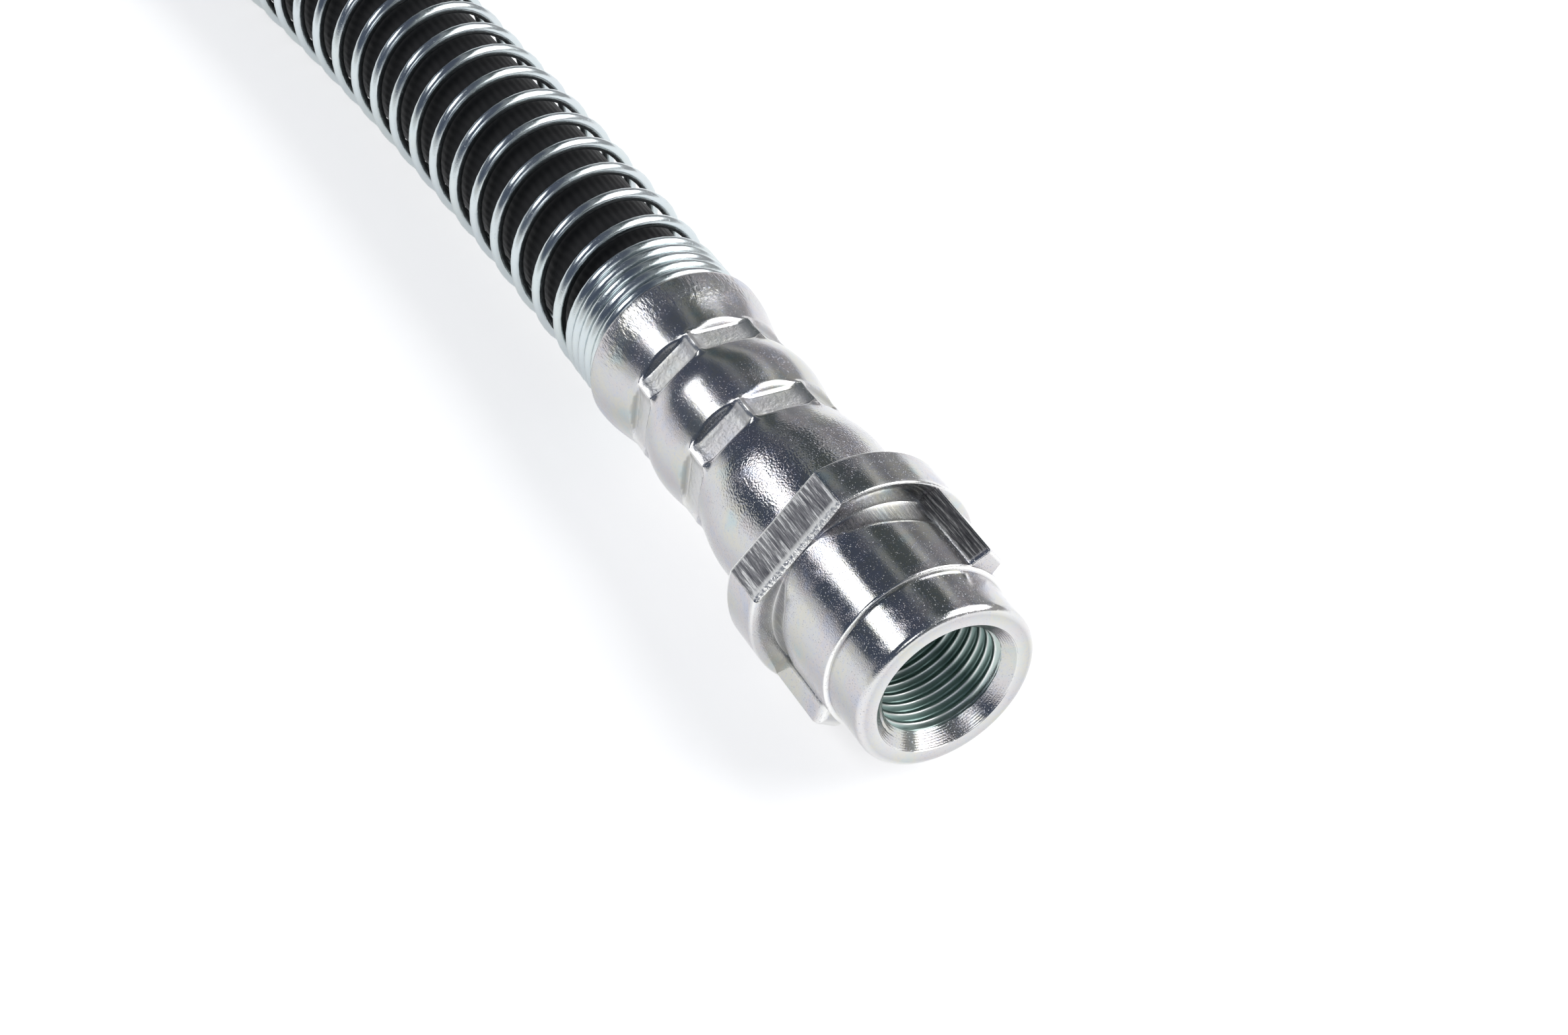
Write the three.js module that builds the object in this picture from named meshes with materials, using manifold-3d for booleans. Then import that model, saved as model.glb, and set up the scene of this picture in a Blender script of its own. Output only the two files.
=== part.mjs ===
// Brake hose: a reinforced rubber hose in a wire spring guard, with a crimped female end fitting on each end.
// Millimetres, +Z up. It lies on z = 0 on the rims of its two flanges and on the middle of its spring guard.
import * as THREE from 'three';
import { mergeVertices } from 'three/addons/utils/BufferGeometryUtils.js';
import Module from 'manifold-3d';

const wasm = await Module();
wasm.setup();

// Clearances
const seatGap = 0.3;
const springGap = 0.3;

// Nose and body of the end fitting
const noseRadius = 7.0;
const noseRound = 0.55;
const noseLength = 4.1;
const noseStep = 0.15;
const bodyRadius = 7.35;
const bodyLength = 7.2;

// Flange with its two flats
const flangeRadius = 9.0;
const flangeThickness = 3.7;
const flangeEdge = 0.2;
const flatDistance = 7.7;

// Anti-rotation lugs, a ridge on each side of the body, both leaning away from the same flat
const lugReach = 8.8;
const lugLowReach = 8.46;
const lugTipHalf = 0.9;
const lugWideFoot = 1.5;
const lugNarrowFoot = 0.98;
const lugSetback = 0.05;
const lugRoot = 6.35;

// Crimped sleeve: three bulges with two crimps of eight flats between them
const shoulderRadius = 6.95;
const firstBulgeRadius = 7.18;
const middleBulgeRadius = 6.93;
const lastBulgeRadius = 7.33;
const crimpFlat = 5.93;
const crimpSides = 8;
const crimpTurn = THREE.MathUtils.degToRad(16.4);
const crimpLandHalf = 0.85;
const crimpRamp = 1.0;
const firstBulgeRun = 5.0;
const firstCrimpRun = 5.4;
const middleBulgeRun = 4.6;
const secondCrimpRun = 3.6;
const lastBulgeRun = 6.4;
const tailRound = 0.35;

// Inside of the fitting: threaded port, seat, passage and stem
const portRadius = 4.55;
const portChamfer = 1.02;
const portDepth = 13.2;
const seatDepth = 1.7;
const passageRadius = 0.85;
const cavityFloorWall = 4.6;
const stemRadius = 1.45;
const stemSetback = 2.6;

// Rubber hose
const hoseRadius = 5.2;
const hoseSides = 12;
const hoseBoreSides = 8;
const hoseStep = 10;

// Spring guard
const wireRadius = 0.5;
const springRadius = 6.4;
const closedTurns = 3.75;
const closedPitch = 1.05;
const openingTurns = 0.5;
const openPitch = 3.8;
const springStartAngle = THREE.MathUtils.degToRad(207);
const turnSteps = 12;
const wireSides = 6;

const fittingSegments = 36;
const fittingRoll = THREE.MathUtils.degToRad(43.9);
const farHeading = THREE.MathUtils.degToRad(17.5);

// Stations along a fitting, measured back from its mouth
const flangeFront = noseLength + noseStep + bodyLength;
const flangeRear = flangeFront + flangeThickness;
const firstBulge = flangeRear + firstBulgeRun;
const firstCrimp = firstBulge + firstCrimpRun;
const middleBulge = firstCrimp + middleBulgeRun;
const secondCrimp = middleBulge + secondCrimpRun;
const lastBulge = secondCrimp + lastBulgeRun;
const sleeveEnd = lastBulge + tailRound;
const cavityFloor = portDepth + seatDepth + cavityFloorWall;
const stemEnd = sleeveEnd - stemSetback;
const cavityRadius = hoseRadius + seatGap;
const hoseBoreRadius = stemRadius + seatGap;
const hoseEnd = cavityFloor + seatGap;
const crimpValley = crimpFlat / Math.cos(Math.PI / crimpSides);

// The hose's route behind the first fitting: x and y from the mouth, z from the fittings' axis
const freeRoute = [
  [-53, 0, -0.08],
  [-64, -0.11, -0.28],
  [-75, -0.41, -0.65],
  [-86, -0.78, -1.12],
  [-97, -1.51, -1.58],
  [-108, -2.55, -1.95],
  [-119, -3.9, -2.07],
  [-130, -5.56, -1.9],
  [-141, -7.54, -1.48],
  [-152, -9.84, -0.95],
  [-163, -12.46, -0.5],
  [-174, -15.41, -0.18],
];
const farSleeve = new THREE.Vector3(-189, -19.98, 0);
const straightRun = 3;

function toSolid(geometry) {
  const bare = geometry.clone();
  bare.deleteAttribute('normal');
  bare.deleteAttribute('uv');
  const merged = mergeVertices(bare);
  return new wasm.Manifold(new wasm.Mesh({
    numProp: 3,
    vertProperties: merged.attributes.position.array,
    triVerts: new Uint32Array(merged.index.array),
  }));
}

function toGeometry(solid) {
  const mesh = solid.getMesh();
  const geometry = new THREE.BufferGeometry();
  geometry.setAttribute('position', new THREE.BufferAttribute(mesh.vertProperties, 3));
  geometry.setIndex(new THREE.BufferAttribute(mesh.triVerts, 1));
  geometry.computeVertexNormals();
  return geometry;
}

// A profile of [radius, distance back from the mouth] turned about the X axis
function turned(profile, segments, startAngle = 0) {
  const points = profile.map(([radius, back]) => new THREE.Vector2(radius, -back));
  return new THREE.LatheGeometry(points, segments, startAngle).rotateZ(-Math.PI / 2);
}

// Points of a smooth wave from one radius to another, the first one left out
function wave(fromBack, toBack, fromRadius, toRadius, steps) {
  const points = [];
  for (let i = 1; i <= steps; i++) {
    const share = i / steps;
    const ease = (1 - Math.cos(Math.PI * share)) / 2;
    points.push([
      THREE.MathUtils.lerp(fromRadius, toRadius, ease),
      THREE.MathUtils.lerp(fromBack, toBack, share),
    ]);
  }
  return points;
}

// Points of a quarter round about a centre, from one angle to the other
function roundEdge(centreRadius, centreBack, size, fromAngle, toAngle, steps) {
  const points = [];
  for (let i = 0; i <= steps; i++) {
    const angle = THREE.MathUtils.lerp(fromAngle, toAngle, i / steps);
    points.push([centreRadius + size * Math.cos(angle), centreBack - size * Math.sin(angle)]);
  }
  return points;
}

function fittingProfile() {
  const tailEdge = roundEdge(lastBulgeRadius - tailRound, lastBulge, tailRound, -Math.PI / 2, 0, 3);
  const noseEdge = roundEdge(noseRadius - noseRound, noseRound, noseRound, 0, Math.PI / 2, 3);
  return [
    [cavityRadius, sleeveEnd],
    ...tailEdge,
    ...wave(lastBulge, secondCrimp, lastBulgeRadius, crimpValley, 5),
    ...wave(secondCrimp, middleBulge, crimpValley, middleBulgeRadius, 4),
    ...wave(middleBulge, firstCrimp, middleBulgeRadius, crimpValley, 4),
    ...wave(firstCrimp, firstBulge, crimpValley, firstBulgeRadius, 4),
    [shoulderRadius, flangeRear],
    [flangeRadius - flangeEdge, flangeRear],
    [flangeRadius, flangeRear - flangeEdge],
    [flangeRadius, flangeFront + flangeEdge],
    [flangeRadius - flangeEdge, flangeFront],
    [bodyRadius, flangeFront],
    [bodyRadius, noseLength + noseStep],
    [noseRadius, noseLength],
    ...noseEdge,
    [portRadius + portChamfer, 0],
    [portRadius, portChamfer],
    [portRadius, portDepth],
    [passageRadius, portDepth + seatDepth],
    [passageRadius, stemEnd],
    [stemRadius, stemEnd],
    [stemRadius, cavityFloor],
    [cavityRadius, cavityFloor],
    [cavityRadius, sleeveEnd],
  ];
}

// Both lugs: the section is drawn in Y and Z and runs along X from the flange to the step of the nose
function lugSolid() {
  const section = new THREE.Shape([
    new THREE.Vector2(lugRoot, -lugNarrowFoot),
    new THREE.Vector2(bodyRadius, -lugNarrowFoot),
    new THREE.Vector2(lugLowReach, -lugTipHalf),
    new THREE.Vector2(lugReach, lugTipHalf),
    new THREE.Vector2(bodyRadius, lugWideFoot),
    new THREE.Vector2(lugRoot, lugWideFoot),
  ]);
  const start = noseLength + noseStep + lugSetback;
  const depth = flangeFront + flangeThickness / 2 - start;
  const lug = new THREE.ExtrudeGeometry(section, { depth, bevelEnabled: false });
  const alongX = new THREE.Matrix4().makeBasis(
    new THREE.Vector3(0, 1, 0),
    new THREE.Vector3(0, 0, 1),
    new THREE.Vector3(1, 0, 0),
  );
  lug.applyMatrix4(alongX).translate(-start - depth, 0, 0);
  const upper = toSolid(lug);
  return upper.add(upper.mirror([0, 1, 0]));
}

// The metal that the crimping jaws press away at one station: a ring round an eight-sided waist
function crimpCut(station) {
  const corner = 1 / Math.cos(Math.PI / crimpSides);
  const half = crimpLandHalf + crimpRamp;
  const waist = turned([
    [0, station + half],
    [(crimpFlat + crimpRamp) * corner, station + half],
    [crimpFlat * corner, station + crimpLandHalf],
    [crimpFlat * corner, station - crimpLandHalf],
    [(crimpFlat + crimpRamp) * corner, station - half],
    [0, station - half],
  ], crimpSides).rotateX(crimpTurn);
  const blank = new THREE.CylinderGeometry(flangeRadius, flangeRadius, 2 * half, fittingSegments)
    .rotateZ(-Math.PI / 2)
    .translate(-station, 0, 0);
  return toSolid(blank).subtract(toSolid(waist));
}

// What is sheared off the flange to leave one flat; side is 1 or -1
function flatCut(side) {
  const length = flangeThickness + 2 * flangeEdge;
  const height = flangeRadius;
  const block = new THREE.BoxGeometry(length, 3 * flangeRadius, height)
    .translate(-(flangeFront + flangeRear) / 2, 0, side * (flatDistance + height / 2));
  return toSolid(block);
}

function fittingGeometry() {
  let solid = toSolid(turned(fittingProfile(), fittingSegments));
  solid = solid.add(lugSolid());
  for (const side of [1, -1]) {
    solid = solid.subtract(flatCut(side));
  }
  for (const station of [firstCrimp, secondCrimp]) {
    solid = solid.subtract(crimpCut(station));
  }
  return toGeometry(solid);
}

// The hose's centre line, from its end in the first fitting to its end in the far one
const farDirection = new THREE.Vector3(-Math.cos(farHeading), -Math.sin(farHeading), 0);

function alongFar(distance) {
  return farSleeve.clone().addScaledVector(farDirection, distance);
}

function routePoints() {
  const inside = sleeveEnd - hoseEnd;
  const near = [hoseEnd, (hoseEnd + sleeveEnd) / 2, sleeveEnd - straightRun, sleeveEnd + straightRun]
    .map((back) => new THREE.Vector3(-back, 0, 0));
  const free = freeRoute.map((point) => new THREE.Vector3(...point));
  const far = [-straightRun, straightRun, inside / 2, inside].map(alongFar);
  return [...near, ...free, ...far];
}

const route = new THREE.CatmullRomCurve3(routePoints(), false, 'catmullrom', 0.5);
route.arcLengthDivisions = 2000;

function ringShape(radius, sides, boreRadius, boreSides) {
  const corners = (size, count) => Array.from({ length: count }, (_, i) => {
    const angle = (i / count) * 2 * Math.PI;
    return new THREE.Vector2(size * Math.cos(angle), size * Math.sin(angle));
  });
  const shape = new THREE.Shape(corners(radius, sides));
  if (boreRadius > 0) {
    shape.holes.push(new THREE.Path(corners(boreRadius, boreSides)));
  }
  return shape;
}

function hoseGeometry() {
  const steps = Math.round(route.getLength() / hoseStep);
  const section = ringShape(hoseRadius, hoseSides, hoseBoreRadius, hoseBoreSides);
  return new THREE.ExtrudeGeometry(section, { steps, bevelEnabled: false, extrudePath: route });
}

// The guard's wire: closed coils at both ends, open coils between them, right-handed round the route
class SpringPath extends THREE.Curve {
  constructor(fromLength, toLength) {
    super();
    this.from = fromLength;
    const openingRun = openingTurns * (closedPitch + openPitch) / 2;
    this.endRun = closedTurns * closedPitch + openingRun;
    const openRun = toLength - fromLength - 2 * this.endRun;
    this.openTurns = Math.round(2 * openRun / openPitch) / 2;
    this.pitch = openRun / this.openTurns;
    this.turns = this.openTurns + 2 * (closedTurns + openingTurns);
    this.span = toLength - fromLength;
    this.arcLengthDivisions = Math.ceil(this.turns) * turnSteps * 4;
  }

  // Distance along the route after a number of turns, counted from the closed end
  advance(turn) {
    if (turn > this.turns / 2) {
      return this.span - this.advance(this.turns - turn);
    }
    const opened = turn - closedTurns;
    if (opened <= 0) {
      return turn * closedPitch;
    }
    if (opened <= openingTurns) {
      const gain = (openPitch - closedPitch) / openingTurns;
      return closedTurns * closedPitch + closedPitch * opened + gain * opened * opened / 2;
    }
    return this.endRun + this.pitch * (opened - openingTurns);
  }

  getPoint(t, target = new THREE.Vector3()) {
    const turn = t * this.turns;
    const along = (this.from + this.advance(turn)) / route.getLength();
    const centre = route.getPointAt(along);
    const tangent = route.getTangentAt(along);
    const side = new THREE.Vector3(0, 0, 1).cross(tangent).normalize();
    const up = tangent.clone().cross(side);
    const angle = springStartAngle + turn * 2 * Math.PI;
    return target.copy(centre)
      .addScaledVector(side, springRadius * Math.cos(angle))
      .addScaledVector(up, springRadius * Math.sin(angle));
  }
}

function springGeometry() {
  const clear = sleeveEnd - hoseEnd + springGap + wireRadius;
  const path = new SpringPath(clear, route.getLength() - clear);
  const steps = Math.round(path.turns * turnSteps);
  const section = ringShape(wireRadius, wireSides, 0, 0);
  return new THREE.ExtrudeGeometry(section, { steps, bevelEnabled: false, extrudePath: path });
}

function named(name, geometry, material) {
  const mesh = new THREE.Mesh(geometry, material);
  mesh.name = name;
  return mesh;
}

const zincPlate = () => new THREE.MeshStandardMaterial({ color: 0xc4c8ca, metalness: 1, roughness: 0.25 });
const springZinc = () => new THREE.MeshStandardMaterial({ color: 0xb9c0c6, metalness: 1, roughness: 0.3 });
const blackRubber = () => new THREE.MeshStandardMaterial({ color: 0x18181a, metalness: 0, roughness: 0.6 });

const fitting = fittingGeometry();

const nearFitting = named('near_fitting', fitting, zincPlate());
nearFitting.rotation.x = fittingRoll;

const farFitting = named('far_fitting', fitting.clone(), zincPlate());
farFitting.position.copy(alongFar(sleeveEnd));
farFitting.rotation.set(fittingRoll, 0, Math.PI + farHeading, 'ZYX');

const rubberHose = named('rubber_hose', hoseGeometry(), blackRubber());
const springGuard = named('spring_guard', springGeometry(), springZinc());

const part = new THREE.Group();
part.add(nearFitting, farFitting, rubberHose, springGuard);

// The origin is the middle of the footprint, on the surface that the hose lies on
part.updateMatrixWorld(true);
const reach = new THREE.Box3().setFromObject(part, true);
part.position.set(-(reach.min.x + reach.max.x) / 2, -(reach.min.y + reach.max.y) / 2, -reach.min.z);

export default part;
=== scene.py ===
# Brake hose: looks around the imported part. +X runs out of the near fitting's mouth, +Z is up.
# Sizes in the settings are mm unless a note says metres, and Blender's own are metres.
import math
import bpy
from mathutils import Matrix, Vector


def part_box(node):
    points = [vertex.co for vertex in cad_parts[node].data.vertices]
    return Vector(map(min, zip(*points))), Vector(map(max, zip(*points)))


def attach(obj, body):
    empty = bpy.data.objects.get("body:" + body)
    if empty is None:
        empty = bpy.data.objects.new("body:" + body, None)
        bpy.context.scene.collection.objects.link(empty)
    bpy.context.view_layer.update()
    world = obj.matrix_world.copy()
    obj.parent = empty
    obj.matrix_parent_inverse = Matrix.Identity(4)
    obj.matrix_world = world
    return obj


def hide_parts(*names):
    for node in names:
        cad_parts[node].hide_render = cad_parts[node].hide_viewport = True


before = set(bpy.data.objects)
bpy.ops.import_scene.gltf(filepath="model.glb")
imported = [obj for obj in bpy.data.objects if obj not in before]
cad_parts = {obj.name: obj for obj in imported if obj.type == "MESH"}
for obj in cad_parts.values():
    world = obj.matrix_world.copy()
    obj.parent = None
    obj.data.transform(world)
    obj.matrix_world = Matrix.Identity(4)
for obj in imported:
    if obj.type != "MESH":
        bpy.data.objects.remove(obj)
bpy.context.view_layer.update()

from types import SimpleNamespace

import bmesh
import bpy
import numpy as np
from mathutils import Matrix, Vector

mm = 0.001
rng = np.random.default_rng(7)

nearLow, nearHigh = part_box("near_fitting")
mouth = Vector((nearHigh[0], (nearLow[1] + nearHigh[1]) / 2, (nearLow[2] + nearHigh[2]) / 2))
print("frame loaded, mouth at", [round(x / mm, 3) for x in mouth])

# camera, at the photograph's angle
cameraLook = {
    "fromMouth": (123.1, -80.1, 155.35),
    "forward": (-0.6354, 0.3481, -0.6892),
    "lens": 72.35,
    "sensor": 36,
    "clip": (0.005, 30),    # metres
}
cameraData = bpy.data.cameras.new("camera")
cameraData.lens = cameraLook["lens"]
cameraData.sensor_width = cameraLook["sensor"]
cameraData.clip_start, cameraData.clip_end = cameraLook["clip"]
camera = bpy.data.objects.new("camera", cameraData)
bpy.context.scene.collection.objects.link(camera)
camera.location = mouth + Vector(cameraLook["fromMouth"]) * mm
camera.rotation_euler = Vector(cameraLook["forward"]).to_track_quat("-Z", "Y").to_euler()
bpy.context.scene.camera = camera


def skin(name, rings, joined=False, capped=False, facets=None):
    # quads between rings of points; joined closes the last ring on the first, capped fills both ends
    rings = np.asarray(rings)
    count, around = rings.shape[:2]
    grid = np.arange(count * around).reshape(count, around)
    lower, upper = (grid, np.roll(grid, -1, axis=0)) if joined else (grid[:-1], grid[1:])
    quads = np.stack([lower, np.roll(lower, -1, axis=1), np.roll(upper, -1, axis=1), upper], axis=-1)
    faces = quads.reshape(-1, 4).tolist()
    if capped:
        faces += [grid[0][::-1].tolist(), grid[-1].tolist()]
    mesh = bpy.data.meshes.new(name)
    mesh.from_pydata((rings.reshape(-1, 3) * mm).tolist(), [], faces)
    work = bmesh.new()
    work.from_mesh(mesh)
    bmesh.ops.recalc_face_normals(work, faces=work.faces)
    work.to_mesh(mesh)
    work.free()
    mesh.shade_smooth()
    if facets is not None:
        mesh.set_sharp_from_angle(angle=math.radians(facets))
    piece = bpy.data.objects.new(name, mesh)
    bpy.context.scene.collection.objects.link(piece)
    return piece


def store(piece, name, values):
    # a number or a vector on every vertex, for the materials to read
    values = np.asarray(values, dtype=np.float32)
    kind = "FLOAT" if values.ndim == 1 else "FLOAT_VECTOR"
    layer = piece.data.attributes.new(name, kind, "POINT")
    layer.data.foreach_set("value" if kind == "FLOAT" else "vector", values.ravel())


def smoothStep(value, low, high):
    share = np.clip((value - low) / (high - low), 0, 1)
    return share * share * (3 - 2 * share)


# route of the hose, from the near mouth
route = {
    "hoseEnd": 19.8,
    "sleeveEnd": 40.5,
    "straightRun": 3,
    "free": [
        (-53, 0, -0.08),
        (-64, -0.11, -0.28),
        (-75, -0.41, -0.65),
        (-86, -0.78, -1.12),
        (-97, -1.51, -1.58),
        (-108, -2.55, -1.95),
        (-119, -3.9, -2.07),
        (-130, -5.56, -1.9),
        (-141, -7.54, -1.48),
        (-152, -9.84, -0.95),
        (-163, -12.46, -0.5),
        (-174, -15.41, -0.18),
    ],
    "farSleeve": (-189, -19.98, 0),
    "farHeading": math.radians(17.5),
}
farWay = np.array([-math.cos(route["farHeading"]), -math.sin(route["farHeading"]), 0])
inside = route["sleeveEnd"] - route["hoseEnd"]


def routePoints():
    end, sleeve, straight = route["hoseEnd"], route["sleeveEnd"], route["straightRun"]
    near = [(-back, 0, 0) for back in (end, (end + sleeve) / 2, sleeve - straight, sleeve + straight)]
    far = [np.array(route["farSleeve"]) + along * farWay
           for along in (-straight, straight, inside / 2, inside)]
    return np.vstack([near, route["free"], far]) + np.array(mouth) / mm


def smoothLine(points, steps=80):
    # one smooth curve through the points, and the length run at each of its points
    ahead = np.vstack([2 * points[0] - points[1], points, 2 * points[-1] - points[-2]])
    t = np.linspace(0, 1, steps, endpoint=False)[:, None]
    spans = []
    for i in range(len(points) - 1):
        before, a, b, after = ahead[i:i + 4]
        leave, arrive = (b - before) / 2, (after - a) / 2
        spans.append((2 * t**3 - 3 * t**2 + 1) * a + (t**3 - 2 * t**2 + t) * leave
                     + (3 * t**2 - 2 * t**3) * b + (t**3 - t**2) * arrive)
    line = np.vstack(spans + [points[-1:]])
    return line, np.concatenate([[0], np.cumsum(np.linalg.norm(np.diff(line, axis=0), axis=1))])


line, lineRun = smoothLine(routePoints())
lineWay = np.gradient(line, axis=0)
lineWay /= np.linalg.norm(lineWay, axis=1)[:, None]
hoseLength = lineRun[-1]


def alongRoute(run):
    # centre, sideways and upward directions at lengths along the route
    run = np.atleast_1d(run)
    centre = np.stack([np.interp(run, lineRun, line[:, i]) for i in range(3)], axis=-1)
    way = np.stack([np.interp(run, lineRun, lineWay[:, i]) for i in range(3)], axis=-1)
    way /= np.linalg.norm(way, axis=1)[:, None]
    side = np.cross([0, 0, 1], way)
    side /= np.linalg.norm(side, axis=1)[:, None]
    return centre, side, np.cross(way, side)


# rubber hose, sagging a little inside its guard
hoseLook = {
    "radius": 5.42,
    "swell": 0.13,
    "bore": 1.75,
    "sag": (0, -0.107, -0.054),
    "ribs": 50,
    "ribDepth": 0.05,
    "pointsPerRib": 4,
    "step": 1.6,
    "boreEvery": 8,         # the bore has one ring for this many outside
    "swellRun": (0.5, 6),   # from the sleeve's end
    "sagRun": (1, 14),
    "sharpAngle": 60,
    "pathPoints": 40,
}


def makeHose():
    around = hoseLook["ribs"] * hoseLook["pointsPerRib"]
    angle = np.linspace(0, 2 * math.pi, around, endpoint=False)
    groove = (1 - np.cos(hoseLook["ribs"] * angle)) / 2
    ribbed = -hoseLook["ribDepth"] * groove**2
    stations = np.linspace(0, hoseLength, int(hoseLength / hoseLook["step"]) + 1)

    def rings(runs, radius, swell, relief):
        centre, side, up = alongRoute(runs)
        fromSleeve = np.minimum(runs, hoseLength - runs) - inside
        centre = centre + smoothStep(fromSleeve, *hoseLook["sagRun"])[:, None] * np.array(hoseLook["sag"])
        size = radius + swell * smoothStep(fromSleeve, *hoseLook["swellRun"])[:, None] + relief[None, :]
        swing = side[:, None] * np.cos(angle)[:, None] + up[:, None] * np.sin(angle)[:, None]
        return centre[:, None] + swing * size[:, :, None]

    outer = rings(stations, hoseLook["radius"], hoseLook["swell"], ribbed)
    bore = rings(stations[::-hoseLook["boreEvery"]], hoseLook["bore"], 0, 0 * angle)
    piece = skin("hose", np.concatenate([outer, bore]), joined=True, facets=hoseLook["sharpAngle"])
    store(piece, "groove", np.concatenate([np.tile(groove, len(stations)), np.ones(len(bore) * around)]))
    return piece


hose = makeHose()
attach(hose, "root")
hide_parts("rubber_hose")
routePath = alongRoute(np.linspace(0, hoseLength, hoseLook["pathPoints"]))[0] * mm
tuple(alongRoute(inside)[0][0] * mm)
print("hose", round(hoseLength, 1), "mm")

# spring guard: one wire, closed coils at both ends and open ones between them
springLook = {
    "wireRadius": 0.5,
    "radius": 6.4,
    "closedTurns": 4.35,
    "closedPitch": 1.05,
    "openingTurns": 0.5,
    "openPitch": 3.8,
    "startAngle": math.radians(-10),
    "setback": 0.17,
    "stepsPerTurn": 44,
    "wireSides": 14,
    "sharpAngle": 50,
}


def makeSpring():
    look = springLook
    start = inside + look["setback"]
    span = hoseLength - 2 * start
    closedRun = look["closedTurns"] * look["closedPitch"]
    opening = look["openingTurns"]
    endRun = closedRun + opening * (look["closedPitch"] + look["openPitch"]) / 2
    openRun = span - 2 * endRun
    openTurns = round(2 * openRun / look["openPitch"]) / 2
    turns = openTurns + 2 * (look["closedTurns"] + opening)

    def advance(turn):
        opened = turn - look["closedTurns"]
        gain = (look["openPitch"] - look["closedPitch"]) / opening
        ramp = closedRun + look["closedPitch"] * opened + gain * opened**2 / 2
        steady = endRun + openRun / openTurns * (opened - opening)
        beyond = np.where(opened <= opening, ramp, steady)
        return np.where(opened <= 0, turn * look["closedPitch"], beyond)

    turn = np.linspace(0, turns, int(turns * look["stepsPerTurn"]) + 1)
    run = np.where(turn > turns / 2, span - advance(turns - turn), advance(turn)) + start
    centre, side, up = alongRoute(run)
    angle = look["startAngle"] + 2 * math.pi * turn
    outward = side * np.cos(angle)[:, None] + up * np.sin(angle)[:, None]
    wire = centre + look["radius"] * outward
    way = np.gradient(wire, axis=0)
    way /= np.linalg.norm(way, axis=1)[:, None]
    across = np.cross(way, outward)
    across /= np.linalg.norm(across, axis=1)[:, None]
    outward = np.cross(across, way)
    tilt = np.linspace(0, 2 * math.pi, look["wireSides"], endpoint=False)
    section = outward[:, None] * np.cos(tilt)[:, None] + across[:, None] * np.sin(tilt)[:, None]
    rings = wire[:, None] + look["wireRadius"] * section
    piece = skin("spring", rings, capped=True, facets=look["sharpAngle"])
    wireRun = np.concatenate([[0], np.cumsum(np.linalg.norm(np.diff(wire, axis=0), axis=1))])
    # each point's place: along the wire, and across it
    along, tilts = np.meshgrid(wireRun, tilt, indexing="ij")
    place = np.stack([along, look["wireRadius"] * np.cos(tilts), look["wireRadius"] * np.sin(tilts)], axis=-1)
    store(piece, "place", place.reshape(-1, 3))
    return piece


spring = makeSpring()
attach(spring, "root")
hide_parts("spring_guard")
print("spring")

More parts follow.
